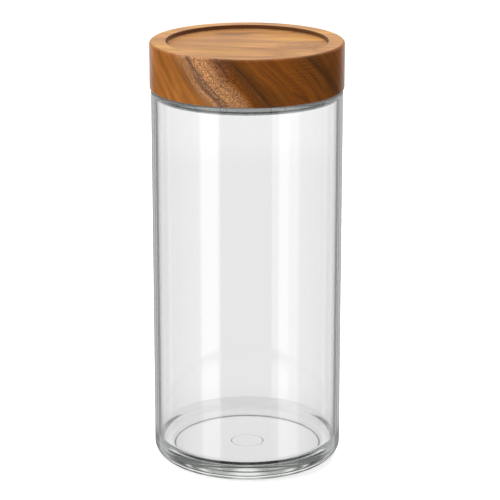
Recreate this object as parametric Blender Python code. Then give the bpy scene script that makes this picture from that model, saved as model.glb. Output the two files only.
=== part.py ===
"""Storage jar of clear glass with a turned wooden lid and a silicone seal ring.

The jar is a thick-walled cylinder with a rounded heel, a foot ring and a hollow underside. The lid
is one piece of wood: a shallow seat on top takes the foot ring of another jar, and a short plug
below, with a groove turned in it, carries the seal that grips the jar's mouth. Each piece is
turned about Z. Units are metres, +Z is up, and the foot ring stands on Z = 0.
"""

import math

import bmesh
import bpy

MM = 0.001

# Driving sizes of the glass jar
JAR_RADIUS = 50.0 * MM
JAR_HEIGHT = 201.8 * MM
WALL = 3.2 * MM
FLOOR_THICKNESS = 7.0 * MM
FLOOR_CORNER_WIDTH = 6.8 * MM
FLOOR_CORNER_HEIGHT = 6.0 * MM
HEEL_WIDTH = 9.0 * MM
HEEL_HEIGHT = 7.8 * MM
FOOT_RING_WIDTH = 1.4 * MM
UNDERSIDE_HOLLOW = 1.2 * MM
MOULD_RING_RADIUS = 8.6 * MM
MOULD_RING_WIDTH = 0.8 * MM
MOULD_RING_HEIGHT = 0.25 * MM

# Driving sizes of the wooden lid
LID_RADIUS = 50.7 * MM
LID_THICKNESS = 24.7 * MM
LID_TOP_EASE = 1.5 * MM
LID_UNDER_EASE = 0.8 * MM
SEAT_DEPTH = 2.6 * MM
SEAT_EDGE_EASE = 0.4 * MM
SEAT_CORNER = 0.8 * MM
PLUG_LENGTH = 4.4 * MM
PLUG_EASE = 0.4 * MM
GROOVE_DEPTH = 1.8 * MM
GROOVE_HEIGHT = 1.8 * MM
GROOVE_DROP = 1.1 * MM

# Driving sizes of the seal ring
SEAL_BAND = 1.2 * MM
FIN_COUNT = 3
FIN_THICKNESS = 0.8 * MM
FIN_TIP = 0.4 * MM

# Clearances
REST_GAP = 0.3 * MM
SEAL_GAP = 0.3 * MM
SEAT_CLEARANCE = 0.9 * MM
PLUG_CLEARANCE = 3.0 * MM

# How finely round shapes are drawn
TURN_STEPS = 72
WIDE_ARC_STEPS = 8
RIM_ARC_STEPS = 8
EDGE_ARC_STEPS = 3
SHARP_ANGLE = math.radians(32.0)
MERGE_DISTANCE = 0.01 * MM

# Places that follow from the sizes above
MOUTH_RADIUS = JAR_RADIUS - WALL
FOOT_OUTER_RADIUS = JAR_RADIUS - HEEL_WIDTH
FOOT_INNER_RADIUS = FOOT_OUTER_RADIUS - FOOT_RING_WIDTH
SEAT_RADIUS = FOOT_OUTER_RADIUS + SEAT_CLEARANCE
LID_UNDERSIDE = JAR_HEIGHT + REST_GAP
LID_TOP = LID_UNDERSIDE + LID_THICKNESS
PLUG_RADIUS = MOUTH_RADIUS - PLUG_CLEARANCE
PLUG_BOTTOM = LID_UNDERSIDE - PLUG_LENGTH
GROOVE_RADIUS = PLUG_RADIUS - GROOVE_DEPTH
GROOVE_TOP = LID_UNDERSIDE - GROOVE_DROP
GROOVE_BOTTOM = GROOVE_TOP - GROOVE_HEIGHT
SEAL_RADIUS = MOUTH_RADIUS - SEAL_GAP
SEAL_TOP = LID_UNDERSIDE - REST_GAP
SEAL_BOTTOM = PLUG_BOTTOM
SEAL_BAND_INNER = PLUG_RADIUS + SEAL_GAP
SEAL_BAND_OUTER = SEAL_BAND_INNER + SEAL_BAND


def clear_scene():
    """Remove every object that the scene starts with."""
    for startup_object in list(bpy.data.objects):
        bpy.data.objects.remove(startup_object, do_unlink=True)


def finish_material(name, colour, roughness, transmission=0.0, ior=1.5):
    """Make a Principled material of one colour."""
    material = bpy.data.materials.new(name)
    material.use_nodes = True
    shader = material.node_tree.nodes["Principled BSDF"]
    shader.inputs["Base Color"].default_value = (*colour, 1.0)
    shader.inputs["Roughness"].default_value = roughness
    shader.inputs["Metallic"].default_value = 0.0
    shader.inputs["Transmission Weight"].default_value = transmission
    shader.inputs["IOR"].default_value = ior
    material.diffuse_color = (*colour, 1.0)
    return material


def arc(centre_radius, centre_height, width, height, start, end, steps):
    """Points of an elliptical arc in the profile plane, from start to end in degrees."""
    points = []
    for i in range(steps + 1):
        angle = math.radians(start + (end - start) * i / steps)
        radius = centre_radius + width * math.cos(angle)
        level = centre_height + height * math.sin(angle)
        points.append((radius, level))
    return points


def turned_piece(name, profile, material, closed=False):
    """Turn a profile of (radius, height) points about Z with a Screw modifier."""
    shape = bmesh.new()
    corners = [shape.verts.new((radius, 0.0, height)) for radius, height in profile]
    for start, end in zip(corners, corners[1:]):
        shape.edges.new((start, end))
    if closed:
        shape.edges.new((corners[-1], corners[0]))
    mesh = bpy.data.meshes.new(name)
    shape.to_mesh(mesh)
    shape.free()
    mesh.materials.append(material)
    piece = bpy.data.objects.new(name, mesh)
    bpy.context.scene.collection.objects.link(piece)
    turn = piece.modifiers.new("Turn", "SCREW")
    turn.axis = "Z"
    turn.angle = math.tau
    turn.steps = TURN_STEPS
    turn.render_steps = TURN_STEPS
    turn.use_merge_vertices = True
    turn.merge_threshold = MERGE_DISTANCE
    turn.use_smooth_shade = True
    return piece


def bake_turn(piece):
    """Keep the turned surface as the mesh, shaded smooth between its sharp edges."""
    graph = bpy.context.evaluated_depsgraph_get()
    mesh = bpy.data.meshes.new_from_object(piece.evaluated_get(graph))
    mesh.name = piece.name
    piece.modifiers.clear()
    piece.data = mesh
    mesh.shade_smooth()
    mesh.set_sharp_from_angle(angle=SHARP_ANGLE)


def jar_profile():
    """Jar section: out along the floor, up the bore, over the rim, down to the foot and in."""
    floor_level = UNDERSIDE_HOLLOW + FLOOR_THICKNESS
    rim_radius = WALL / 2
    profile = [(0.0, floor_level)]
    profile += arc(
        MOUTH_RADIUS - FLOOR_CORNER_WIDTH,
        floor_level + FLOOR_CORNER_HEIGHT,
        FLOOR_CORNER_WIDTH,
        FLOOR_CORNER_HEIGHT,
        -90,
        0,
        WIDE_ARC_STEPS,
    )
    profile += arc(
        JAR_RADIUS - rim_radius,
        JAR_HEIGHT - rim_radius,
        rim_radius,
        rim_radius,
        180,
        0,
        RIM_ARC_STEPS,
    )
    profile += arc(FOOT_OUTER_RADIUS, HEEL_HEIGHT, HEEL_WIDTH, HEEL_HEIGHT, 0, -90, WIDE_ARC_STEPS)
    profile += arc(
        FOOT_INNER_RADIUS - UNDERSIDE_HOLLOW,
        0.0,
        UNDERSIDE_HOLLOW,
        UNDERSIDE_HOLLOW,
        0,
        90,
        EDGE_ARC_STEPS,
    )
    profile += mould_ring_profile()
    profile.append((0.0, UNDERSIDE_HOLLOW))
    return profile


def mould_ring_profile():
    """Low plain ring that stands on the middle of the hollow underside."""
    outer = MOULD_RING_RADIUS + MOULD_RING_WIDTH / 2
    inner = MOULD_RING_RADIUS - MOULD_RING_WIDTH / 2
    return [
        (outer, UNDERSIDE_HOLLOW),
        (MOULD_RING_RADIUS, UNDERSIDE_HOLLOW - MOULD_RING_HEIGHT),
        (inner, UNDERSIDE_HOLLOW),
    ]


def lid_profile():
    """Lid section: out along the seat, over the land, down the side, in to the plug and groove."""
    seat_level = LID_TOP - SEAT_DEPTH
    profile = [(0.0, seat_level)]
    profile += arc(
        SEAT_RADIUS - SEAT_CORNER,
        seat_level + SEAT_CORNER,
        SEAT_CORNER,
        SEAT_CORNER,
        -90,
        0,
        EDGE_ARC_STEPS,
    )
    profile += arc(
        SEAT_RADIUS + SEAT_EDGE_EASE,
        LID_TOP - SEAT_EDGE_EASE,
        SEAT_EDGE_EASE,
        SEAT_EDGE_EASE,
        180,
        90,
        EDGE_ARC_STEPS,
    )
    profile += arc(
        LID_RADIUS - LID_TOP_EASE,
        LID_TOP - LID_TOP_EASE,
        LID_TOP_EASE,
        LID_TOP_EASE,
        90,
        0,
        EDGE_ARC_STEPS,
    )
    profile += arc(
        LID_RADIUS - LID_UNDER_EASE,
        LID_UNDERSIDE + LID_UNDER_EASE,
        LID_UNDER_EASE,
        LID_UNDER_EASE,
        0,
        -90,
        EDGE_ARC_STEPS,
    )
    profile += [
        (PLUG_RADIUS, LID_UNDERSIDE),
        (PLUG_RADIUS, GROOVE_TOP),
        (GROOVE_RADIUS, GROOVE_TOP),
        (GROOVE_RADIUS, GROOVE_BOTTOM),
        (PLUG_RADIUS, GROOVE_BOTTOM),
    ]
    profile += arc(
        PLUG_RADIUS - PLUG_EASE,
        PLUG_BOTTOM + PLUG_EASE,
        PLUG_EASE,
        PLUG_EASE,
        0,
        -90,
        EDGE_ARC_STEPS,
    )
    profile.append((0.0, PLUG_BOTTOM))
    return profile


def seal_profile():
    """Seal section: a tongue in the groove, a band round the plug and fins towards the glass."""
    fin_pitch = (SEAL_TOP - SEAL_BOTTOM - FIN_THICKNESS) / (FIN_COUNT - 1)
    tongue_top = GROOVE_TOP - SEAL_GAP
    tongue_bottom = GROOVE_BOTTOM + SEAL_GAP
    profile = [
        (GROOVE_RADIUS + SEAL_GAP, tongue_bottom),
        (GROOVE_RADIUS + SEAL_GAP, tongue_top),
        (SEAL_BAND_INNER, tongue_top),
        (SEAL_BAND_INNER, SEAL_TOP),
    ]
    for i in range(FIN_COUNT):
        fin_top = SEAL_TOP - i * fin_pitch
        fin_bottom = fin_top - FIN_THICKNESS
        tip_middle = (fin_top + fin_bottom) / 2
        if i:
            profile.append((SEAL_BAND_OUTER, fin_top))
        profile.append((SEAL_RADIUS, tip_middle + FIN_TIP / 2))
        profile.append((SEAL_RADIUS, tip_middle - FIN_TIP / 2))
        if i < FIN_COUNT - 1:
            profile.append((SEAL_BAND_OUTER, fin_bottom))
    profile += [(SEAL_BAND_INNER, SEAL_BOTTOM), (SEAL_BAND_INNER, tongue_bottom)]
    return profile


def glass_jar():
    """The glass body, from foot ring to rim."""
    glass = finish_material("clear_glass", (0.93, 0.96, 0.95), 0.02, transmission=1.0, ior=1.52)
    bake_turn(turned_piece("glass_jar", jar_profile(), glass))


def wooden_lid():
    """The turned lid with its seat, its plug and its groove."""
    wood = finish_material("oiled_acacia", (0.36, 0.15, 0.05), 0.45)
    bake_turn(turned_piece("wooden_lid", lid_profile(), wood))


def seal_ring():
    """The silicone ring that rides in the lid's groove."""
    silicone = finish_material("clear_silicone", (0.72, 0.76, 0.77), 0.35, transmission=0.4, ior=1.41)
    bake_turn(turned_piece("seal_ring", seal_profile(), silicone, closed=True))


clear_scene()
glass_jar()
wooden_lid()
seal_ring()
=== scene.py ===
import logging
import math
from dataclasses import dataclass
from enum import Enum
from functools import reduce
from typing import Sequence

import bpy
import numpy as np
from bpy.types import ID, Material, Mesh, Node, NodeTree, Object
from bpy.types import NodeSocket as Socket
from mathutils import Euler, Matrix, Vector


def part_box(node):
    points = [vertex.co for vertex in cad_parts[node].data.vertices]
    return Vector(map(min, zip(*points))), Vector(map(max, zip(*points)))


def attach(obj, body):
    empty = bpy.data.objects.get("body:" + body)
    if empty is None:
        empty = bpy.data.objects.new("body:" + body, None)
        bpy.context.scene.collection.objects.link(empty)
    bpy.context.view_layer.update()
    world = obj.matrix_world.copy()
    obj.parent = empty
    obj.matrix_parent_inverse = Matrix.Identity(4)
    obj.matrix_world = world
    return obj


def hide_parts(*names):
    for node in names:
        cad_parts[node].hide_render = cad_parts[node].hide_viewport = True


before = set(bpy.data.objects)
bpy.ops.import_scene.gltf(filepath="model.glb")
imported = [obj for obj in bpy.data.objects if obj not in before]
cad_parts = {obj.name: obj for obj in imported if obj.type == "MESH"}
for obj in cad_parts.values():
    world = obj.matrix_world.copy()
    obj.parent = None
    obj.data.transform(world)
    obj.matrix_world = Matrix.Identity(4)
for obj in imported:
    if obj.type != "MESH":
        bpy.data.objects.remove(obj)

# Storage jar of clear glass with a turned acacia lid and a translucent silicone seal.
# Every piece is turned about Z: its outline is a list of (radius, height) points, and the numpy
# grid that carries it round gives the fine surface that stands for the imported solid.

MM = 0.001
CLOSE_POINT = 0.06 * MM
CLOSE_SHARE = 0.25
SAME_POINT = 1e-7
SEAL_CLEARANCE = 0.3 * MM
SEAT_CLEARANCE = 0.9 * MM
PLUG_CLEARANCE = 3.0 * MM
FLOOR_CLEARANCE = 0.2 * MM
FULL_TURN = 360.0
NOISE_MIDDLE = 0.5
FLAT_BELL_POWER = 4.0
ANY_BOUNCE = 0.5
LOG = logging.getLogger("jar")

Place = tuple[float, float, float]
Colour = tuple[float, float, float]
Span = tuple[float, float]
Feed = Socket | float
Paint = Socket | Colour
Stops = Sequence[tuple[float, Colour | float]]

WHITE: Colour = (1.0, 1.0, 1.0)


class Segments(Enum):
    """How many segments a turned surface has round its axis."""

    FINE = 360
    PLAIN = 240


class Ray(Enum):
    """Outputs of the Light Path node that finishes and the studio's world read."""

    CAMERA = "Is Camera Ray"
    DIFFUSE = "Is Diffuse Ray"
    REFLECTED = "Glossy Depth"
    REFRACTED = "Transmission Depth"
    SHARP = "Is Singular Ray"


class Mixing(Enum):
    """Ways to mix two colours."""

    OVER = "MIX"
    TIMES = "MULTIPLY"


# Turned surfaces


def line(start: Sequence[float], end: Sequence[float], steps: int = 1) -> np.ndarray:
    """Points of a straight stretch of an outline, evenly spaced.

    A long stretch gets one more point close to each end, which keeps its shading flat up to the
    bend there.

    Args:
        start: Radius and height of the first point.
        end: Radius and height of the last point.
        steps: Number of stretches between them.

    Returns:
        Array of (radius, height) rows.
    """
    share = np.linspace(0.0, 1.0, steps + 1)
    close = CLOSE_POINT / math.dist(start, end)
    if close < CLOSE_SHARE / steps:
        share = np.sort(np.append(share, [close, 1.0 - close]))
    return np.asarray(start) * (1.0 - share[:, None]) + np.asarray(end) * share[:, None]


def arc(
    centre: Sequence[float], size: Sequence[float] | float, start: float, end: float, steps: int
) -> np.ndarray:
    """Points of an elliptical arc: centre plus (width times cosine, height times sine).

    Args:
        centre: Radius and height of the ellipse's middle.
        size: Half width and half height of the ellipse, or a circle's radius.
        start: Angle of the first point in degrees, 0 outwards and 90 up.
        end: Angle of the last point in degrees.
        steps: Number of stretches along the arc.

    Returns:
        Array of (radius, height) rows.
    """
    angle = np.radians(np.linspace(start, end, steps + 1))
    way = np.stack([np.cos(angle), np.sin(angle)], 1)
    return np.asarray(centre) + way * np.asarray(size)


def outline(*stretches: np.ndarray) -> np.ndarray:
    """Join stretches of an outline and drop points that repeat the one before.

    Args:
        stretches: Arrays of (radius, height) rows, in order.

    Returns:
        One array of (radius, height) rows.
    """
    points = np.concatenate(stretches)
    apart = np.linalg.norm(np.diff(points, axis=0), axis=1) > SAME_POINT
    return points[np.concatenate([[True], apart])]


def turned_mesh(
    name: str, points: np.ndarray, segments: Segments, sharp: float, closed: bool = False
) -> Mesh:
    """Carry an outline round Z: the point (r, z) at turn t lies at (r cos t, r sin t, z).

    The outline runs down its outer side, so the faces point out. An end on the axis becomes a
    pole with a fan of triangles, and a closed outline becomes a ring.

    Args:
        name: Name of the mesh.
        points: The outline, rows of (radius, height).
        segments: Number of segments round the axis.
        sharp: Angle in degrees above which an edge is shaded sharp.
        closed: Whether the last point joins the first.

    Returns:
        The finished mesh.
    """
    count = segments.value
    body = points if closed else points[1:-1]
    turn = np.linspace(0.0, math.tau, count, endpoint=False)
    radius, height = body[:, :1], body[:, 1:]
    level = np.broadcast_to(height, (len(body), count))
    grid = np.stack([radius * np.cos(turn), radius * np.sin(turn), level], axis=-1)
    rows = np.arange(len(body) if closed else len(body) - 1)[:, None]
    columns = np.arange(count)[None, :]
    here, after = rows * count, (rows + 1) % len(body) * count
    beside = (columns + 1) % count
    quads = np.stack([here + columns, after + columns, after + beside, here + beside], -1)
    vertices = grid.reshape(-1, 3)
    faces = quads.reshape(-1, 4).tolist()
    if not closed:
        first, last = len(vertices), len(vertices) + 1
        poles = [[0.0, 0.0, points[0, 1]], [0.0, 0.0, points[-1, 1]]]
        end = (len(body) - 1) * count
        ring, following = columns[0], beside[0]
        vertices = np.vstack([vertices, poles])
        faces += np.stack([np.full(count, first), ring, following], -1).tolist()
        faces += np.stack([np.full(count, last), end + following, end + ring], -1).tolist()
    mesh = bpy.data.meshes.new(name)
    mesh.from_pydata(vertices.tolist(), [], faces)
    mesh.shade_smooth()
    mesh.set_sharp_from_angle(angle=math.radians(sharp))
    mesh.validate()
    return mesh


def placed(name: str, data: ID, shown_by_glass: bool = True) -> Object:
    """Make an object of a mesh, a lamp or a camera and put it into the scene.

    Args:
        name: The object's name.
        data: What it is made of.
        shown_by_glass: Whether glass and satin wood may show it.

    Returns:
        The new object, at the origin.
    """
    made = bpy.data.objects.new(name, data)
    bpy.context.scene.collection.objects.link(made)
    made.visible_glossy = shown_by_glass
    made.visible_transmission = shown_by_glass
    return made


def dressed_piece(
    mesh: Mesh, material: Material, node: str, body: str
) -> Object:
    """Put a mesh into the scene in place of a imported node.

    Args:
        mesh: The finished surface.
        material: Its finish.
        node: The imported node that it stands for.
        body: The body that it moves with.

    Returns:
        The new object, at the origin.
    """
    mesh.materials.append(material)
    piece = placed(mesh.name, mesh)
    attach(piece, body)
    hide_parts(node)
    return piece


# Node trees


class Graph:
    """A material's or the world's node tree, with short calls that add and link nodes."""

    NEW_STOP = 0.5
    MIX_FIRST = 6
    MIX_SECOND = 7
    MIX_RESULT = 2

    def __init__(self, tree: NodeTree) -> None:
        """Start from an empty tree."""
        self.tree = tree
        tree.nodes.clear()

    def node(self, kind: str, **settings: object) -> Node:
        """Add a node.

        Args:
            kind: Blender's name for the node without its Shader prefix.
            settings: Properties to set on it.

        Returns:
            The new node.
        """
        made = self.tree.nodes.new("ShaderNode" + kind)
        for name, value in settings.items():
            setattr(made, name, value)
        return made

    def feed(self, value: object, target: Socket) -> None:
        """Link a socket to an input, or set a plain value on it.

        Args:
            value: A socket, a number, or a colour or vector of three numbers.
            target: The input that it goes to.
        """
        if isinstance(value, Socket):
            self.tree.links.new(value, target)
        elif isinstance(value, tuple) and target.type == "RGBA" and len(value) == 3:
            target.default_value = (*value, 1.0)
        else:
            target.default_value = value

    def fill(self, node: Node, inputs: dict[str, object]) -> None:
        """Feed several inputs of a node, given by name."""
        for name, value in inputs.items():
            self.feed(value, node.inputs[name])

    def worked(self, kind: str, values: Sequence[object], **settings: object) -> Socket:
        """Add a node and feed its inputs in order.

        Args:
            kind: Blender's name for the node without its Shader prefix.
            values: What its first inputs get.
            settings: Properties to set on it.

        Returns:
            Its first output.
        """
        made = self.node(kind, **settings)
        for value, target in zip(values, made.inputs):
            self.feed(value, target)
        return made.outputs[0]

    def math(self, operation: str, *values: Feed) -> Socket:
        """Work out one number from others by Blender's name for the operation."""
        return self.worked("Math", values, operation=operation)

    def total(self, *values: Feed) -> Feed:
        """Add up several numbers."""
        return reduce(lambda one, other: self.math("ADD", one, other), values)

    def product(self, *values: Feed) -> Feed:
        """Multiply several numbers."""
        return reduce(lambda one, other: self.math("MULTIPLY", one, other), values)

    def distance(self, x: Feed, y: Feed) -> Socket:
        """Length of the vector (x, y)."""
        return self.math("SQRT", self.total(self.product(x, x), self.product(y, y)))

    def azimuth(self, x: Feed, y: Feed) -> Socket:
        """Angle round Z in radians, 0 at the front, towards -Y, and plus to the right."""
        return self.math("ARCTAN2", x, self.product(y, -1.0))

    def turn_share(self, angle: Feed) -> Socket:
        """Place from 0 to 1 on a ramp that runs once round, for an angle from -pi to pi."""
        return self.math("MULTIPLY_ADD", angle, 1.0 / math.tau, 0.5)

    def combine(self, x: Feed, y: Feed, z: Feed) -> Socket:
        """Make a vector of three numbers."""
        return self.worked("CombineXYZ", (x, y, z))

    def grey(self, level: Feed) -> Socket:
        """Make a grey of one number."""
        return self.combine(level, level, level)

    def separate(self, vector: Socket) -> tuple[Socket, ...]:
        """Take a vector apart into its three numbers."""
        return tuple(self.worked("SeparateXYZ", (vector,)).node.outputs)

    def mapped(self, vector: Socket, scale: Place, turn: Place = (0.0, 0.0, 0.0)) -> Socket:
        """Scale a vector after turning it, with Mapping nodes.

        Args:
            vector: The vector to change.
            scale: Factor along each axis, after the turn.
            turn: Turn about each axis in degrees.

        Returns:
            The changed vector.
        """
        turned = self.node("Mapping")
        radians = tuple(math.radians(angle) for angle in turn)
        self.fill(turned, {"Vector": vector, "Rotation": radians})
        scaled = self.node("Mapping")
        self.fill(scaled, {"Vector": turned.outputs[0], "Scale": scale})
        return scaled.outputs[0]

    def ease(
        self, value: Feed, start: float, end: float, low: Feed = 0.0, high: Feed = 1.0
    ) -> Socket:
        """Go smoothly from low to high while the value goes from start to end."""
        values = (value, start, end, low, high)
        return self.worked("MapRange", values, interpolation_type="SMOOTHSTEP")

    def ramp(self, value: Socket, stops: Stops) -> Socket:
        """Turn a number into a colour by stops.

        Args:
            value: Number from 0 to 1.
            stops: Pairs of a place from 0 to 1 and a colour, or a grey as one number.

        Returns:
            The colour.
        """
        colour_out = self.worked("ValToRGB", (value,))
        elements = colour_out.node.color_ramp.elements
        while len(elements) < len(stops):
            elements.new(self.NEW_STOP)
        for element, (place, colour) in zip(elements, stops):
            element.position = place
            element.color = (*(colour if isinstance(colour, tuple) else (colour,) * 3), 1.0)
        return colour_out

    def blend(
        self, share: Feed, first: Paint, second: Paint, mixing: Mixing = Mixing.OVER
    ) -> Socket:
        """Mix two colours.

        Args:
            share: 0 for the first, 1 for the second.
            first: Colour or socket.
            second: Colour or socket.
            mixing: The way of mixing.

        Returns:
            The mixed colour.
        """
        made = self.node("Mix", data_type="RGBA", blend_type=mixing.value)
        self.feed(share, made.inputs[0])
        self.feed(first, made.inputs[self.MIX_FIRST])
        self.feed(second, made.inputs[self.MIX_SECOND])
        return made.outputs[self.MIX_RESULT]

    def shaded(self, colour: Socket, shade: Socket) -> Socket:
        """Multiply a colour by one number."""
        return self.blend(1.0, colour, self.grey(shade), Mixing.TIMES)


@dataclass(frozen=True)
class Ease:
    """A smooth change from low to high while a number goes from start to end."""

    start: float
    end: float
    low: float = 0.0
    high: float = 1.0

    def of(self, graph: Graph, value: Feed) -> Socket:
        """The eased number for a value."""
        return graph.ease(value, self.start, self.end, self.low, self.high)


@dataclass(frozen=True)
class Noise:
    """Smooth noise from 0 to 1, with its own scale along each axis of the vector it reads."""

    scale: Place
    detail: float = 2.0
    roughness: float = 0.5
    distortion: float = 0.0

    def of(self, graph: Graph, vector: Socket) -> Socket:
        """Add the noise to a graph.

        Args:
            graph: The material's graph.
            vector: The vector that it follows.

        Returns:
            The noise at each point.
        """
        scaled = graph.mapped(vector, self.scale)
        made = graph.node("TexNoise")
        graph.fill(made, {
            "Vector": scaled,
            "Scale": 1.0,
            "Detail": self.detail,
            "Roughness": self.roughness,
            "Distortion": self.distortion,
        })
        return made.outputs["Fac"]


def round_stops(pairs: Stops) -> Stops:
    """Stops of a ramp that runs once round, from angles of -180 to 180 degrees."""
    return [(0.5 + angle / FULL_TURN, colour) for angle, colour in pairs]


def new_material(name: str) -> tuple[Material, Graph, Node, Node]:
    """Make a material that holds a Principled shader and nothing else.

    Args:
        name: The material's name.

    Returns:
        The material, its graph, the shader node and the output node.
    """
    material = bpy.data.materials.new(name)
    material.use_nodes = True
    graph = Graph(material.node_tree)
    shader = graph.node("BsdfPrincipled")
    output = graph.node("OutputMaterial")
    graph.feed(shader.outputs[0], output.inputs["Surface"])
    return material, graph, shader, output


# Finish of the glass and of the seal


@dataclass(frozen=True)
class ClearGlass:
    """Pressed soda-lime glass: colourless where thin, a trace of grey-green in depth."""

    refraction: float = 1.52
    tint: Colour = (0.76, 0.85, 0.79)
    depth_per_metre: float = 5.0
    # strength of the painted glow that the glass gives off after many reflections inside it
    painted_glow: float = 0.035
    trapped_bounces: float = 4.5

    def material(self) -> Material:
        """Build the glass, clear at its surface with a faint absorption inside.

        After many reflections inside it, the glass gives off a painted glow, a little emission that
        stands for the stray light in thick glass, so that the base has no black spots. Nothing else
        sees that glow.

        Returns:
            The material.
        """
        material, graph, shader, output = new_material("clear_glass")
        turned_back = graph.node("LightPath").outputs[Ray.REFLECTED.value]
        # painted glow: the glass emits a little light on paths that have been reflected many times
        # inside it
        painted_glow_share = graph.math("GREATER_THAN", turned_back, self.trapped_bounces)
        graph.fill(shader, {
            "Base Color": WHITE,
            "Roughness": 0.0,
            "IOR": self.refraction,
            "Transmission Weight": 1.0,
            "Emission Color": WHITE,
            "Emission Strength": graph.product(painted_glow_share, self.painted_glow),
        })
        volume = graph.node("VolumeAbsorption")
        graph.fill(volume, {"Color": self.tint, "Density": self.depth_per_metre})
        graph.feed(volume.outputs[0], output.inputs["Volume"])
        return material


@dataclass(frozen=True)
class ClearSilicone:
    """Food-grade silicone: milky, blue-grey and softly glossy, with painted shade between its fins.
    """

    top: float
    pitch: float
    fin: float
    colour: Colour = (0.86, 0.90, 0.90)
    # painted shade: colour of the grooves between the fins
    shaded: Colour = (0.26, 0.28, 0.27)
    refraction: float = 1.41
    see_through: float = 0.20
    haze: Noise = Noise((0.35 / MM,) * 3)
    haze_gain: float = 1.12
    gloss: Ease = Ease(0.3, 0.7, 0.26, 0.36)
    shade_begin_shares: Span = (0.9, 1.2)
    shade_end_share: float = 0.3

    def material(self) -> Material:
        """Build the silicone: pale fins, painted shade in the grooves, faint cloudiness in colour
        and gloss.

        The height below the top, wrapped over the pitch of the fins, tells fins from grooves.

        Returns:
            The material.
        """
        material, graph, shader, _ = new_material("clear_silicone")
        place = graph.node("TexCoord").outputs["Object"]
        cloud = self.haze.of(graph, place)
        paler = tuple(min(1.0, self.haze_gain * part) for part in self.colour)
        below = graph.math("SUBTRACT", self.top, graph.separate(place)[2])
        step = graph.math("WRAP", below, self.pitch, 0.0)
        begin, full = (share * self.fin for share in self.shade_begin_shares)
        last = self.pitch - self.shade_end_share * self.fin
        # painted shade: darkens the grooves between the fins
        painted_groove_shade = graph.product(
            graph.ease(step, begin, full), graph.ease(step, last, self.pitch, 1.0, 0.0)
        )
        body = graph.blend(cloud, self.colour, paler)
        graph.fill(shader, {
            "Base Color": graph.blend(painted_groove_shade, body, self.shaded),
            "Roughness": self.gloss.of(graph, cloud),
            "IOR": self.refraction,
            "Transmission Weight": self.see_through,
        })
        return material


# Finish of the wood


class Tone(Enum):
    """Colours of acacia, from sapwood to the darkest growth lines."""

    GOLD = (0.60, 0.295, 0.072)
    SAND = (0.54, 0.260, 0.090)
    TAN = (0.42, 0.190, 0.060)
    FAWN = (0.60, 0.275, 0.108)
    MAUVE = (0.27, 0.115, 0.062)
    AMBER = (0.54, 0.200, 0.036)
    RUSSET = (0.43, 0.145, 0.022)
    HONEY = (0.30, 0.083, 0.003)
    CHESTNUT = (0.25, 0.076, 0.005)
    UMBER = (0.20, 0.062, 0.007)
    PLUM = (0.15, 0.085, 0.065)
    BARK = (0.080, 0.026, 0.006)


@dataclass(frozen=True)
class Streak:
    """A soft-edged streak of another tone, in millimetres on the plane that it lies in.

    Its middle line is the height y + slope * d + bend * d * d over the distance d from x. Across
    the line it fades as a bell, and along it as a bell with a flatter top.
    """

    x: float
    y: float
    slope: float
    half_length: float
    half_width: float
    strength: float
    tone: Tone
    bend: float = 0.0

    def mask(self, graph: Graph, x: Socket, y: Socket) -> Socket:
        """Work out how strongly the streak colours a point.

        Args:
            graph: The material's graph.
            x: Place along the plane in millimetres.
            y: Place across it in millimetres.

        Returns:
            0 away from the streak, up to its strength on its middle line.
        """
        off = graph.math("SUBTRACT", x, self.x)
        bent = graph.math("MULTIPLY_ADD", off, self.bend, self.slope)
        middle = graph.math("MULTIPLY_ADD", off, bent, self.y)
        across = graph.product(graph.math("SUBTRACT", y, middle), 1.0 / self.half_width)
        lengthwise = graph.product(off, 1.0 / self.half_length)
        along = graph.math("POWER", lengthwise, FLAT_BELL_POWER)
        far = graph.math("MULTIPLY_ADD", across, across, along)
        return graph.product(graph.math("EXPONENT", graph.product(far, -1.0)), self.strength)


# Broad tones of the side by the twisted way round, in degrees, 0 at the front and plus to the right
SIDE_FIGURE = (
    (-180.0, Tone.HONEY), (-150.0, Tone.RUSSET), (-126.0, Tone.CHESTNUT), (-108.0, Tone.HONEY),
    (-80.0, Tone.RUSSET), (-56.0, Tone.RUSSET), (-38.0, Tone.RUSSET), (-31.0, Tone.FAWN),
    (-14.0, Tone.FAWN), (-7.0, Tone.HONEY), (0.0, Tone.UMBER), (8.0, Tone.CHESTNUT),
    (19.0, Tone.HONEY), (34.0, Tone.HONEY), (50.0, Tone.CHESTNUT), (62.0, Tone.CHESTNUT),
    (78.0, Tone.HONEY), (100.0, Tone.RUSSET), (124.0, Tone.CHESTNUT), (140.0, Tone.HONEY),
    (180.0, Tone.HONEY),
)

# How coarse the pores of the side are, by the same turn
SIDE_PORES = (
    (-180.0, 0.14), (-60.0, 0.12), (-36.0, 0.20), (-27.0, 0.95), (-6.0, 0.90),
    (3.0, 0.30), (20.0, 0.16), (36.0, 0.34), (56.0, 0.26), (180.0, 0.14),
)

# Single streaks of the side: way round from the front and height above the middle
SIDE_STREAKS = (
    Streak(2.3, 0.0, -1.10, 16.0, 1.5, 0.85, Tone.BARK),
    Streak(-23.0, 0.0, -1.26, 15.0, 2.2, 0.70, Tone.PLUM),
    Streak(-43.0, -3.0, -1.30, 7.0, 4.2, 0.75, Tone.AMBER),
    Streak(-50.0, 6.0, -1.20, 9.0, 3.2, 0.50, Tone.CHESTNUT),
    Streak(-33.5, 4.5, -1.28, 9.0, 3.0, 0.45, Tone.CHESTNUT),
    Streak(-17.0, -4.0, -1.26, 8.0, 1.1, 0.45, Tone.PLUM),
    Streak(14.0, 4.0, -1.15, 12.0, 1.1, 0.40, Tone.UMBER),
    Streak(34.0, 3.0, -1.00, 9.0, 0.8, 0.45, Tone.BARK),
    Streak(46.0, 0.0, -0.92, 16.0, 3.0, 0.60, Tone.BARK),
    Streak(28.0, -8.2, -0.60, 4.5, 0.9, 0.55, Tone.BARK),
    Streak(-14.0, 9.5, -1.10, 6.0, 4.0, 0.45, Tone.PLUM),
)

# Broad tones of the faces, from the darkest cloud to the palest
FACE_FIGURE = ((0.0, Tone.TAN.value), (0.5, Tone.SAND.value), (1.0, Tone.GOLD.value))

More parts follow.
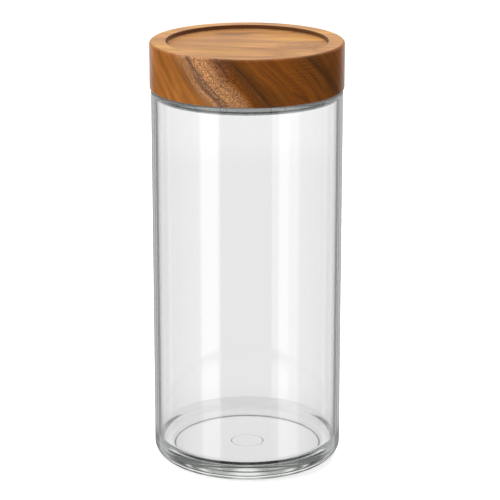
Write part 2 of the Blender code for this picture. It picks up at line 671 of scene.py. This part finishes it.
# Single streaks of the faces
FACE_STREAKS = (
    Streak(22.0, 21.0, 0.10, 20.0, 10.0, 0.60, Tone.GOLD),
    Streak(-14.0, -16.0, -0.15, 26.0, 8.0, 0.45, Tone.GOLD),
    Streak(-12.0, 12.0, 0.0, 26.0, 14.0, 0.35, Tone.MAUVE),
    Streak(-4.5, -7.1, -0.27, 24.0, 1.0, 0.60, Tone.MAUVE, bend=-0.009),
    Streak(-22.5, -0.5, 0.16, 12.0, 1.2, 0.40, Tone.MAUVE),
    Streak(-9.5, 7.0, -0.20, 7.0, 1.8, 0.40, Tone.MAUVE),
    Streak(-8.0, 29.0, 0.05, 9.0, 4.0, 0.55, Tone.PLUM),
    Streak(3.5, 34.5, 0.50, 12.0, 1.3, 0.60, Tone.PLUM, bend=-0.01),
    Streak(34.0, 7.5, -0.05, 10.0, 1.2, 0.50, Tone.MAUVE),
    Streak(14.0, 46.0, -0.10, 9.0, 3.0, 0.60, Tone.MAUVE),
)


@dataclass(frozen=True)
class Ripples:
    """Level waves of curly grain on the right of the front, in millimetres and radians."""

    wave_length: float = 1.9
    depth: float = 0.13
    bend: Noise = Noise((0.16, 0.16, 0.10))
    bend_turn: float = 9.0
    left_end: Ease = Ease(math.radians(20.0), math.radians(30.0))
    right_end: Ease = Ease(math.radians(44.0), math.radians(54.0), 1.0, 0.0)
    lower_end: Ease = Ease(-8.0, 0.0)

    def shade(self, graph: Graph, place: Socket, azimuth: Socket, height: Socket) -> Socket:
        """Work out the waves' light and dark: 1 plus a sine of the bent height.

        Args:
            graph: The material's graph.
            place: Object coordinates in millimetres.
            azimuth: Angle round the side.
            height: Height above the middle of the side.

        Returns:
            Factor on the colour, 1 outside the rippled patch.
        """
        bent = self.bend.of(graph, place)
        turn = graph.product(height, math.tau / self.wave_length)
        phase = graph.total(turn, graph.product(bent, self.bend_turn))
        wave = graph.math("SINE", phase)
        sides = self.left_end.of(graph, azimuth), self.right_end.of(graph, azimuth)
        patch = graph.product(*sides, self.lower_end.of(graph, height), self.depth)
        return graph.math("MULTIPLY_ADD", wave, patch, 1.0)


@dataclass(frozen=True)
class Eye:
    """Oval rings of growth round a small knot in the face, in millimetres."""

    x: float = 29.0
    y: float = -1.5
    half_length: float = 12.0
    half_width: float = 9.0
    rings: float = 2.0
    ring_shade: Ease = Ease(-0.6, 1.0, 0.35, 1.0)
    fade: Ease = Ease(0.9, 1.35, 0.5, 0.0)

    def mask(self, graph: Graph, x: Socket, y: Socket) -> Socket:
        """Work out the rings: a wave of the oval distance from the middle that dies away.

        Args:
            graph: The material's graph.
            x: Place along the face.
            y: Place across it.

        Returns:
            How strongly the rings colour a point.
        """
        along = graph.product(graph.math("SUBTRACT", x, self.x), 1.0 / self.half_length)
        across = graph.product(graph.math("SUBTRACT", y, self.y), 1.0 / self.half_width)
        far = graph.distance(along, across)
        wave = graph.math("SINE", graph.product(far, self.rings * math.tau))
        return graph.product(self.ring_shade.of(graph, wave), self.fade.of(graph, far))


@dataclass(frozen=True)
class Grain:
    """Fine grain of one cut: noises over millimetres, and how much each one shades."""

    wander: Noise
    sway: float
    fibres: Noise
    fibre_shade: Ease
    fibre_relief: Ease
    bands: Noise
    band_shade: Ease

    def lines(self, graph: Graph, vector: Socket) -> tuple[Socket, Socket]:
        """Add the fibres and the broader bands that run along them.

        Args:
            graph: The material's graph.
            vector: Millimetres along and across the fibres.

        Returns:
            Factor on the colour, and the noise of the fibres.
        """
        fibres = self.fibres.of(graph, vector)
        bands = self.bands.of(graph, vector)
        fine, broad = self.fibre_shade.of(graph, fibres), self.band_shade.of(graph, bands)
        return graph.total(fine, broad), fibres


@dataclass(frozen=True)
class OiledAcacia:
    """Turned acacia, sanded and oiled: golden to dark brown figure, open pores, satin sheen.

    The side and the faces show two cuts of the same board, which meet in the eased edges. On the
    side the growth layers fall to the right as they go round, and the pores are cut across, as
    flecks. On the faces the layers run nearly along X and bend round a small eye, and the pores
    are cut along, as short vessels. The eases of the edge and the seat's wall are millimetres.
    """

    radius: float
    middle: float
    face_edge: float
    seat_radius: float
    seat_level: float

    fibre_turn: float = 8.0
    fall: float = 0.9
    refraction: float = 1.42
    sheen: Ease = Ease(0.0, 1.0, 0.43, 0.30)
    bump_strength: float = 0.35
    bump_depth: float = 0.06 * MM
    edge_width: float = 1.1
    wall_ease: Ease = Ease(0.15, 0.7, 1.0, 0.0)
    wall_foot: Span = (0.1, 0.9)
    wall_shade: float = 0.92
    side_grain: Grain = Grain(
        wander=Noise((0.05, 0.05, 0.05), detail=3.0), sway=7.0,
        fibres=Noise((1.6, 1.6, 0.09), detail=4.0, roughness=0.6),
        fibre_shade=Ease(0.3, 0.7, 0.80, 1.16), fibre_relief=Ease(0.25, 0.6, 0.5, 1.0),
        bands=Noise((0.25, 0.25, 0.035), detail=3.0), band_shade=Ease(0.3, 0.7, -0.20, 0.20),
    )
    face_grain: Grain = Grain(
        wander=Noise((0.05, 0.10, 0.05), detail=3.0), sway=6.0,
        fibres=Noise((0.06, 1.5, 1.5), detail=4.0, roughness=0.6),
        fibre_shade=Ease(0.3, 0.7, 0.90, 1.10), fibre_relief=Ease(0.25, 0.6, 0.6, 1.0),
        bands=Noise((0.022, 0.26, 0.26), detail=4.0, distortion=0.6),
        band_shade=Ease(0.3, 0.7, -0.20, 0.18),
    )
    flecks: Noise = Noise((1.7, 1.7, 2.0), roughness=0.7)
    fleck_shade: Ease = Ease(0.38, 0.62, -0.70, 0.42)
    clouds: Noise = Noise((0.022, 0.060, 0.060), detail=3.0)
    cloud_edge: Ease = Ease(0.3, 0.7)
    vessels: Noise = Noise((0.28, 3.4, 3.4), detail=1.0)
    vessel_edge: Ease = Ease(0.28, 0.37)
    vessel_shade: Ease = Ease(0.0, 1.0, 0.80, 1.0)
    ripples: Ripples = Ripples()
    eye: Eye = Eye()

    def material(self) -> Material:
        """Build the wood from its two cuts, the pores and the satin finish.

        Returns:
            The material.
        """
        material, graph, shader, _ = new_material("oiled_acacia")
        place = graph.mapped(graph.node("TexCoord").outputs["Object"], (1 / MM,) * 3)
        x, y, z = graph.separate(place)
        from_axis = graph.distance(x, y)
        edge = self.face_edge / MM
        on_side = graph.ease(from_axis, edge, edge + self.edge_width)
        side, side_relief = self.side_cut(graph, place, x, y, z)
        face, face_relief = self.face_cut(graph, place, x, y)
        # dark end grain and painted shade of the recess on the seat's upright wall
        face = graph.blend(self.seat_wall_grain_and_shade(graph, from_axis, z), face, Tone.BARK.value)
        graph.feed(graph.blend(on_side, face, side), shader.inputs["Base Color"])
        relief = graph.total(
            graph.product(on_side, side_relief),
            graph.product(graph.math("SUBTRACT", 1.0, on_side), face_relief),
        )
        graph.feed(self.sheen.of(graph, relief), shader.inputs["Roughness"])
        graph.feed(self.refraction, shader.inputs["IOR"])
        bump = graph.node("Bump")
        graph.fill(bump, {
            "Strength": self.bump_strength, "Distance": self.bump_depth, "Height": relief
        })
        graph.feed(bump.outputs[0], shader.inputs["Normal"])
        return material

    def seat_wall_grain_and_shade(self, graph: Graph, from_axis: Socket, z: Socket) -> Socket:
        """Work out the share of dark end grain and painted shade on the upright wall round the
        seat.

        Args:
            graph: The material's graph.
            from_axis: Distance from the axis in millimetres.
            z: Height in millimetres.

        Returns:
            0 away from the wall, up to its shade on it.
        """
        wall = graph.math("ABSOLUTE", graph.math("SUBTRACT", from_axis, self.seat_radius / MM))
        beside = self.wall_ease.of(graph, wall)
        low, high = (self.seat_level / MM + rise for rise in self.wall_foot)
        return graph.product(beside, graph.ease(z, low, high), self.wall_shade)

    def side_cut(
        self, graph: Graph, place: Socket, x: Socket, y: Socket, z: Socket
    ) -> tuple[Socket, Socket]:
        """Figure of the side: streaks that fall at about 45 degrees as they go round.

        The way round the side from the front, plus a share of the height, is the same all along
        such a streak. A colour ramp over that number gives the broad tones, and single streaks
        lie on them.

        Args:
            graph: The material's graph.
            place: Object coordinates in millimetres.
            x: Their first part.
            y: Their second part.
            z: Their third part.

        Returns:
            The colour, and the relief from 0 in a pore to 1 on plain wood.
        """
        grain = self.side_grain
        radius = self.radius / MM
        wander = grain.wander.of(graph, place)
        azimuth = graph.azimuth(x, y)
        height = graph.math("SUBTRACT", z, self.middle / MM)
        sway = graph.product(graph.math("SUBTRACT", wander, NOISE_MIDDLE), grain.sway)
        round_way = graph.math("MULTIPLY_ADD", azimuth, radius, sway)
        fallen = graph.math("MULTIPLY_ADD", height, self.fall, round_way)
        twisted = graph.product(fallen, 1.0 / radius)
        share = graph.turn_share(graph.math("WRAP", twisted, math.pi, -math.pi))
        colour = graph.ramp(share, round_stops([(at, tone.value) for at, tone in SIDE_FIGURE]))
        for streak in SIDE_STREAKS:
            mask = streak.mask(graph, round_way, height)
            colour = graph.blend(mask, colour, streak.tone.value)
        coarse = graph.ramp(share, round_stops(SIDE_PORES))
        spun = graph.combine(
            graph.product(graph.math("SINE", twisted), radius),
            graph.product(graph.math("COSINE", twisted), radius),
            z,
        )
        lines, fibres = grain.lines(graph, spun)
        dots = self.fleck_shade.of(graph, self.flecks.of(graph, place))
        speckle = graph.math("MULTIPLY_ADD", dots, coarse, 1.0)
        waves = self.ripples.shade(graph, place, azimuth, height)
        colour = graph.shaded(colour, graph.product(lines, speckle, waves))
        return colour, graph.product(grain.fibre_relief.of(graph, fibres), speckle)

    def face_cut(
        self, graph: Graph, place: Socket, x: Socket, y: Socket
    ) -> tuple[Socket, Socket]:
        """Figure of the top and the underside: pale layers along X with a few dark streaks.

        Args:
            graph: The material's graph.
            place: Object coordinates in millimetres.
            x: Their first part.
            y: Their second part.

        Returns:
            The colour, and the relief from 0 in a pore to 1 on plain wood.
        """
        grain = self.face_grain
        lying = graph.mapped(place, (1.0, 1.0, 1.0), (0.0, 0.0, self.fibre_turn))
        wander = grain.wander.of(graph, place)
        off = graph.math("SUBTRACT", wander, NOISE_MIDDLE)
        swayed = graph.math("MULTIPLY_ADD", off, grain.sway, y)
        clouds = self.clouds.of(graph, lying)
        colour = graph.ramp(self.cloud_edge.of(graph, clouds), FACE_FIGURE)
        for streak in FACE_STREAKS:
            mask = streak.mask(graph, x, swayed)
            colour = graph.blend(mask, colour, streak.tone.value)
        colour = graph.blend(self.eye.mask(graph, x, swayed), colour, Tone.MAUVE.value)
        lines, fibres = grain.lines(graph, lying)
        plain = self.vessel_edge.of(graph, self.vessels.of(graph, lying))
        colour = graph.shaded(colour, graph.product(lines, self.vessel_shade.of(graph, plain)))
        return colour, graph.product(plain, grain.fibre_relief.of(graph, fibres))


# Sub-assemblies


@dataclass
class GlassJar:
    """Clear glass body with a rounded rim, a thick base, a foot ring and a hollow underside."""

    radius: float
    height: float
    wall: float = 3.2 * MM
    floor_level: float = 8.2 * MM
    corner_width: float = 6.8 * MM
    corner_height: float = 6.0 * MM
    heel_width: float = 9.0 * MM
    heel_height: float = 7.8 * MM
    foot_width: float = 1.4 * MM
    hollow: float = 1.2 * MM
    ring_radius: float = 8.6 * MM
    ring_width: float = 0.8 * MM
    ring_height: float = 0.25 * MM
    ring_points: int = 13
    sharp: float = 32.0

    def section(self) -> np.ndarray:
        """Outline out along the floor, up the bore, over the rim, down the side and back in.

        Returns:
            Rows of (radius, height), from pole to pole.
        """
        mouth = self.radius - self.wall
        corner = mouth - self.corner_width
        corner_top = self.floor_level + self.corner_height
        corner_size = (self.corner_width, self.corner_height)
        lip = self.wall / 2
        shoulder = self.height - lip
        foot = self.radius - self.heel_width
        heel_size = (self.heel_width, self.heel_height)
        inner_foot = foot - self.foot_width
        hollow_edge = inner_foot - self.hollow
        ring_outer = self.ring_radius + self.ring_width / 2
        ring_inner = self.ring_radius - self.ring_width / 2
        return outline(
            line((0.0, self.floor_level), (corner, self.floor_level), steps=8),
            arc((corner, corner_top), corner_size, start=-90, end=0, steps=32),
            line((mouth, corner_top), (mouth, shoulder), steps=24),
            arc((mouth + lip, shoulder), lip, start=180, end=0, steps=24),
            line((self.radius, shoulder), (self.radius, self.heel_height), steps=24),
            arc((foot, self.heel_height), heel_size, start=0, end=-90, steps=36),
            line((foot, 0.0), (inner_foot, 0.0)),
            arc((hollow_edge, 0.0), self.hollow, start=0, end=90, steps=12),
            line((hollow_edge, self.hollow), (ring_outer, self.hollow), steps=12),
            self.mould_ring(),
            line((ring_inner, self.hollow), (0.0, self.hollow), steps=4),
        )

    def mould_ring(self) -> np.ndarray:
        """Low plain ring on the middle of the hollow underside, a half wave in section.

        Returns:
            Rows of (radius, height), from its outer side to its inner side.
        """
        share = np.linspace(1.0, -1.0, self.ring_points)
        across = self.ring_radius + share * self.ring_width / 2
        level = self.hollow - self.ring_height * 0.5 * (1.0 + np.cos(math.pi * share))
        return np.stack([across, level], 1)

    def build(self) -> Object:
        """Make the glass body and dress it."""
        mesh = turned_mesh("glass_jar_body", self.section(), Segments.FINE, self.sharp)
        return dressed_piece(mesh, ClearGlass().material(), "glass_jar", "jar")


@dataclass
class TurnedLid:
    """One turned piece of acacia: a seat sunk in its top, and a grooved plug below."""

    radius: float
    top: float
    plug_bottom: float
    underside: float
    seat_radius: float
    plug_radius: float
    seat_depth: float = 2.6 * MM
    top_ease: float = 1.5 * MM
    under_ease: float = 0.8 * MM
    seat_edge_ease: float = 0.4 * MM
    seat_corner: float = 0.8 * MM
    plug_ease: float = 0.4 * MM
    groove_depth: float = 1.8 * MM
    groove_height: float = 1.8 * MM
    groove_drop: float = 1.1 * MM
    sharp: float = 32.0

    def section(self) -> np.ndarray:
        """Outline out along the seat, over the land, down the side, in to the plug.

        Returns:
            Rows of (radius, height), from pole to pole.
        """
        seat = self.top - self.seat_depth
        corner = self.seat_radius - self.seat_corner
        corner_top = seat + self.seat_corner
        wall_top = self.top - self.seat_edge_ease
        land_inner = self.seat_radius + self.seat_edge_ease
        land_outer = self.radius - self.top_ease
        side_top = self.top - self.top_ease
        side_bottom = self.underside + self.under_ease
        under_edge = self.radius - self.under_ease
        groove_top = self.underside - self.groove_drop
        groove_bottom = groove_top - self.groove_height
        groove = self.plug_radius - self.groove_depth
        plug_low = self.plug_bottom + self.plug_ease
        plug_edge = self.plug_radius - self.plug_ease
        return outline(
            line((0.0, seat), (corner, seat), steps=12),
            arc((corner, corner_top), self.seat_corner, start=-90, end=0, steps=10),
            line((self.seat_radius, corner_top), (self.seat_radius, wall_top), steps=2),
            arc((land_inner, wall_top), self.seat_edge_ease, start=180, end=90, steps=8),
            line((land_inner, self.top), (land_outer, self.top), steps=4),
            arc((land_outer, side_top), self.top_ease, start=90, end=0, steps=12),
            line((self.radius, side_top), (self.radius, side_bottom), steps=12),
            arc((under_edge, side_bottom), self.under_ease, start=0, end=-90, steps=10),
            line((under_edge, self.underside), (self.plug_radius, self.underside), steps=3),
            line((self.plug_radius, self.underside), (self.plug_radius, groove_top)),
            line((groove, groove_top), (groove, groove_bottom)),
            line((self.plug_radius, groove_bottom), (self.plug_radius, plug_low)),
            arc((plug_edge, plug_low), self.plug_ease, start=0, end=-90, steps=6),
            line((plug_edge, self.plug_bottom), (0.0, self.plug_bottom), steps=12),
        )

    def build(self) -> Object:
        """Make the lid and dress it.

        Returns:
            The lid's object.
        """
        wood = OiledAcacia(
            radius=self.radius,
            middle=(self.top + self.underside) / 2,
            face_edge=self.radius - self.top_ease,
            seat_radius=self.seat_radius,
            seat_level=self.top - self.seat_depth,
        )
        mesh = turned_mesh("wooden_lid_turned", self.section(), Segments.PLAIN, self.sharp)
        return dressed_piece(mesh, wood.material(), "wooden_lid", "lid")


@dataclass
class SealRing:
    """Silicone ring: a tongue in the lid's groove, a band round the plug and soft fins."""

    radius: float
    top: float
    bottom: float
    inner: float
    tongue_height: float = 1.2 * MM
    tongue_depth: float = 1.8 * MM
    tongue_drop: float = 1.1 * MM
    band: float = 1.2 * MM
    fin_count: int = 3
    fin_thickness: float = 0.8 * MM
    sharp: float = 40.0

    def pitch(self) -> float:
        """Height from one fin to the next."""
        return (self.top - self.bottom - self.fin_thickness) / (self.fin_count - 1)

    def section(self) -> np.ndarray:
        """Closed outline: up the inner side round the tongue, then down over the fins.

        Each fin ends in a half round.

        Returns:
            Rows of (radius, height), once round the section.
        """
        tip = self.fin_thickness / 2
        fin_end = self.radius - tip
        band_inner = self.inner + self.tongue_depth
        band_outer = band_inner + self.band
        tongue_top = self.top - self.tongue_drop
        tongue_bottom = tongue_top - self.tongue_height
        fins = []
        for level in self.top - tip - self.pitch() * np.arange(self.fin_count):
            fins.append(line((band_outer, level + tip), (fin_end, level + tip)))
            fins.append(arc((fin_end, level), tip, start=90, end=-90, steps=10))
            fins.append(line((fin_end, level - tip), (band_outer, level - tip)))
        return outline(
            line((self.inner, tongue_bottom), (self.inner, tongue_top)),
            line((band_inner, tongue_top), (band_inner, self.top)),
            *fins,
            line((band_inner, self.bottom), (band_inner, tongue_bottom)),
        )

    def build(self) -> Object:
        """Make the seal and dress it.

        Returns:
            The seal's object.
        """
        soft = ClearSilicone(top=self.top, pitch=self.pitch(), fin=self.fin_thickness)
        mesh = turned_mesh("seal_ring_soft", self.section(), Segments.PLAIN, self.sharp, True)
        return dressed_piece(mesh, soft.material(), "seal_ring", "lid")


# Studio


@dataclass(frozen=True)
class PaleFloor:
    """Matt white floor that keeps the object's shadow."""

    colour: Colour = (0.86, 0.86, 0.86)
    glow: float = 0.68

    def material(self) -> Material:
        """Build the floor: matt white, with a glow of its own that only the camera sees.

        Returns:
            The material.
        """
        material, graph, shader, _ = new_material("pale_floor")
        seen = graph.node("LightPath").outputs[Ray.CAMERA.value]
        graph.fill(shader, {
            "Base Color": self.colour,
            "Roughness": 1.0,
            "Specular IOR Level": 0.0,
            "Emission Color": WHITE,
            "Emission Strength": graph.product(seen, self.glow),
        })
        return material


@dataclass(frozen=True)
class Softbox:
    """A rectangular area lamp that points at the object, in metres and watts.

    It lights matt surfaces only: the world holds what glass and wood reflect.
    """

    name: str
    place: Place
    size: Span
    power: float
    aim: Place = (0.0, 0.0, 0.12)

    def hang(self) -> None:
        """Put the lamp into the scene."""
        data = bpy.data.lights.new(self.name, "AREA")
        data.shape = "RECTANGLE"
        data.size, data.size_y = self.size
        data.energy = self.power
        lamp = placed(self.name, data, shown_by_glass=False)
        lamp.location = self.place
        way = Vector(self.aim) - Vector(self.place)
        lamp.rotation_euler = way.to_track_quat("-Z", "Y").to_euler()
        lamp.visible_camera = False


@dataclass(frozen=True)
class Walls:
    """Brightness of a ring of studio walls by direction, in degrees from the front.

    Two upright strips of light stand left and right of the camera, with a gap between them. A
    white wall stands behind the object, with a shoulder of another brightness on both sides of
    it. Edge lines are pairs of an angle in that shoulder and the brightness there.
    """

    surround: float
    gap: float
    strip: float
    back: float
    back_half: float
    back_soft: float
    shoulder: float
    shoulder_end: float
    shoulder_soft: float = 5.0
    left: Span = (-57.0, -34.0)
    right: Span = (40.0, 66.0)
    soft: float = 1.5
    right_strip: bool = True
    edge_lines: tuple[Span, ...] = ()

    def stops(self) -> Stops:
        """Work out the ramp of the brightness round the walls, from the back by the left.

        Returns:
            Pairs of a place from 0 to 1 and the brightness there.
        """
        back = FULL_TURN / 2 - self.back_half
        right = self.strip if self.right_strip else self.surround
        return round_stops([
            (-180.0, self.back), (-back, self.back), (-back + self.back_soft, self.shoulder),
            *((-angle, level) for angle, level in reversed(self.edge_lines)),
            (-self.shoulder_end, self.shoulder),
            (-self.shoulder_end + self.shoulder_soft, self.surround),
            (self.left[0] - self.soft, self.surround), (self.left[0], self.strip),
            (self.left[1], self.strip), (self.left[1] + self.soft, self.gap),
            (self.right[0] - self.soft, self.gap), (self.right[0], right),
            (self.right[1], right), (self.right[1] + self.soft, self.surround),
            (self.shoulder_end - self.shoulder_soft, self.surround),
            (self.shoulder_end, self.shoulder),
            *self.edge_lines,
            (back - self.back_soft, self.shoulder), (back, self.back), (180.0, self.back),
        ])


@dataclass(frozen=True)
class World:
    """The light round the object, by direction and by the kind of ray that looks there.

    Eases over the height z of a direction go from -1 straight down to 1 straight up. Inside and
    outside are what is reflected in the depth of the glass and on its polished surface, and soft
    is what satin wood reflects. The clear levels are what is seen straight through the glass:
    base, wall and the wall's far upper part.
    """

    ambient: float = 0.34
    low_sky: float = 0.38
    overhead: float = 1.2
    horizon: Ease = Ease(-0.02, 0.04)
    zenith: Ease = Ease(0.49, 0.61)
    ground_shade: Ease = Ease(-0.72, -0.46, 0.04, 1.0)
    clear_wall: Ease = Ease(-0.250, -0.232, 0.94, 1.0)
    clear_base: float = 0.78
    base_edge: Span = (-0.365, -0.335)
    inside: Walls = Walls(
        surround=0.34, gap=0.08, strip=1.20,
        back=1.0, back_half=4.0, back_soft=5.0, shoulder=0.50, shoulder_end=132.0,
        edge_lines=(
            (136.0, 0.05), (148.5, 0.05), (151.5, 0.85), (154.0, 0.12), (156.5, 0.20),
            (160.0, 0.90), (164.5, 0.42),
        ),
    )
    outside: Walls = Walls(
        surround=0.42, gap=0.08, strip=1.20,
        back=0.26, back_half=35.0, back_soft=7.0, shoulder=1.1, shoulder_end=108.0,
    )
    soft: Walls = Walls(
        surround=0.03, gap=0.03, strip=0.06,
        back=0.95, back_half=24.0, back_soft=15.0, shoulder=0.03, shoulder_end=130.0,
        right_strip=False,
    )

    def build(self) -> None:
        """Surround the scene with the light.

        The camera sees plain white and a matt surface an even light. Outside and soft have a low
        sky and overhead light above their walls, and inside has the ground's shade below them.
        """
        world = bpy.data.worlds.new("studio")
        bpy.context.scene.world = world
        world.use_nodes = True
        graph = Graph(world.node_tree)
        x, y, z = graph.separate(graph.node("TexCoord").outputs["Generated"])
        share = graph.turn_share(graph.azimuth(x, y))
        inside = graph.ramp(share, self.inside.stops())
        path = graph.node("LightPath")
        outside = graph.blend(
            path.outputs[Ray.SHARP.value],
            graph.ramp(share, self.soft.stops()),
            graph.ramp(share, self.outside.stops()),
        )
        outside = graph.blend(self.horizon.of(graph, z), outside, (self.low_sky,) * 3)
        outside = graph.blend(self.zenith.of(graph, z), outside, (self.overhead,) * 3)
        refracted = graph.math("GREATER_THAN", path.outputs[Ray.REFRACTED.value], ANY_BOUNCE)
        reflected = graph.math("GREATER_THAN", path.outputs[Ray.REFLECTED.value], ANY_BOUNCE)
        inside = graph.shaded(inside, self.ground_shade.of(graph, z))
        seen = graph.blend(refracted, outside, inside)
        clear = graph.ease(z, *self.base_edge, self.clear_base, self.clear_wall.of(graph, z))
        seen = graph.blend(reflected, graph.grey(clear), seen)
        seen = graph.blend(path.outputs[Ray.DIFFUSE.value], seen, (self.ambient,) * 3)
        seen = graph.blend(path.outputs[Ray.CAMERA.value], seen, WHITE)
        light = graph.node("Background")
        graph.feed(seen, light.inputs["Color"])
        output = graph.node("OutputWorld")
        graph.feed(light.outputs[0], output.inputs["Surface"])


@dataclass
class Studio:
    """Pale floor, soft lamps, the world, and the camera where the photograph was taken from."""

    ground: float
    floor_size: float = 12.0
    world: World = World()
    lamps: tuple[Softbox, ...] = (
        Softbox("top_softbox", place=(0.0, 0.35, 0.95), size=(1.1, 0.8), power=9.0),
        Softbox("left_softbox", place=(-1.15, -1.0, 0.75), size=(0.7, 0.9), power=10.0),
    )
    camera_place: Place = (1.52 * MM, -1146.5 * MM, 452.4 * MM)
    camera_pitch: float = 16.463
    camera_reach: float = 30.0
    lens_mm: float = 162.0
    sensor_mm: float = 36.0
    bounces: int = 24
    reflections: int = 8

    def build(self) -> None:
        """Make the floor, the world, the lamps and the camera."""
        self.make_floor()
        self.world.build()
        for lamp in self.lamps:
            lamp.hang()
        self.make_camera()
        self.follow_glass()

    def follow_glass(self) -> None:
        """Let light bounce often enough to find its way out of the thick base."""
        paths = bpy.context.scene.cycles
        paths.max_bounces = self.bounces
        paths.transmission_bounces = self.bounces
        paths.glossy_bounces = self.reflections

    def make_floor(self) -> None:
        """Lay a wide square floor just under the foot ring, which glass and wood don't show."""
        half = self.floor_size / 2
        corners = [(-half, -half), (half, -half), (half, half), (-half, half)]
        mesh = bpy.data.meshes.new("floor")
        mesh.from_pydata([(x, y, self.ground) for x, y in corners], [], [(0, 1, 2, 3)])
        mesh.materials.append(PaleFloor().material())
        floor = placed("floor", mesh, shown_by_glass=False)

    def make_camera(self) -> None:
        """Stand the camera where the photograph was taken from, looking down a little."""
        data = bpy.data.cameras.new("camera")
        data.lens = self.lens_mm
        data.sensor_width = self.sensor_mm
        data.clip_end = self.camera_reach
        camera = placed("camera", data)
        camera.location = self.camera_place
        camera.rotation_euler = Euler((math.radians(90.0 - self.camera_pitch), 0.0, 0.0))
        bpy.context.scene.camera = camera


def main() -> None:
    """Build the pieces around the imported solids, then the studio."""
    logging.basicConfig(level=logging.INFO, format="%(name)s %(message)s")
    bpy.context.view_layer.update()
    jar_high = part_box("glass_jar")[1]
    lid_low, lid_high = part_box("wooden_lid")
    seal_low, seal_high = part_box("seal_ring")
    jar = GlassJar(radius=jar_high.x, height=jar_high.z)
    lid = TurnedLid(
        radius=lid_high.x,
        top=lid_high.z,
        plug_bottom=lid_low.z,
        underside=seal_high.z + SEAL_CLEARANCE,
        seat_radius=jar.radius - jar.heel_width + SEAT_CLEARANCE,
        plug_radius=jar.radius - jar.wall - PLUG_CLEARANCE,
    )
    seal = SealRing(
        radius=seal_high.x,
        top=seal_high.z,
        bottom=seal_low.z,
        inner=lid.plug_radius - lid.groove_depth + SEAL_CLEARANCE,
    )
    for assembly in (jar, lid, seal):
        piece = assembly.build()
        LOG.info("%s: %d faces", piece.name, len(piece.data.polygons))
    Studio(ground=-FLOOR_CLEARANCE).build()
    bpy.context.scene.view_settings.view_transform = "Standard"


if __name__ == "__main__":
    main()
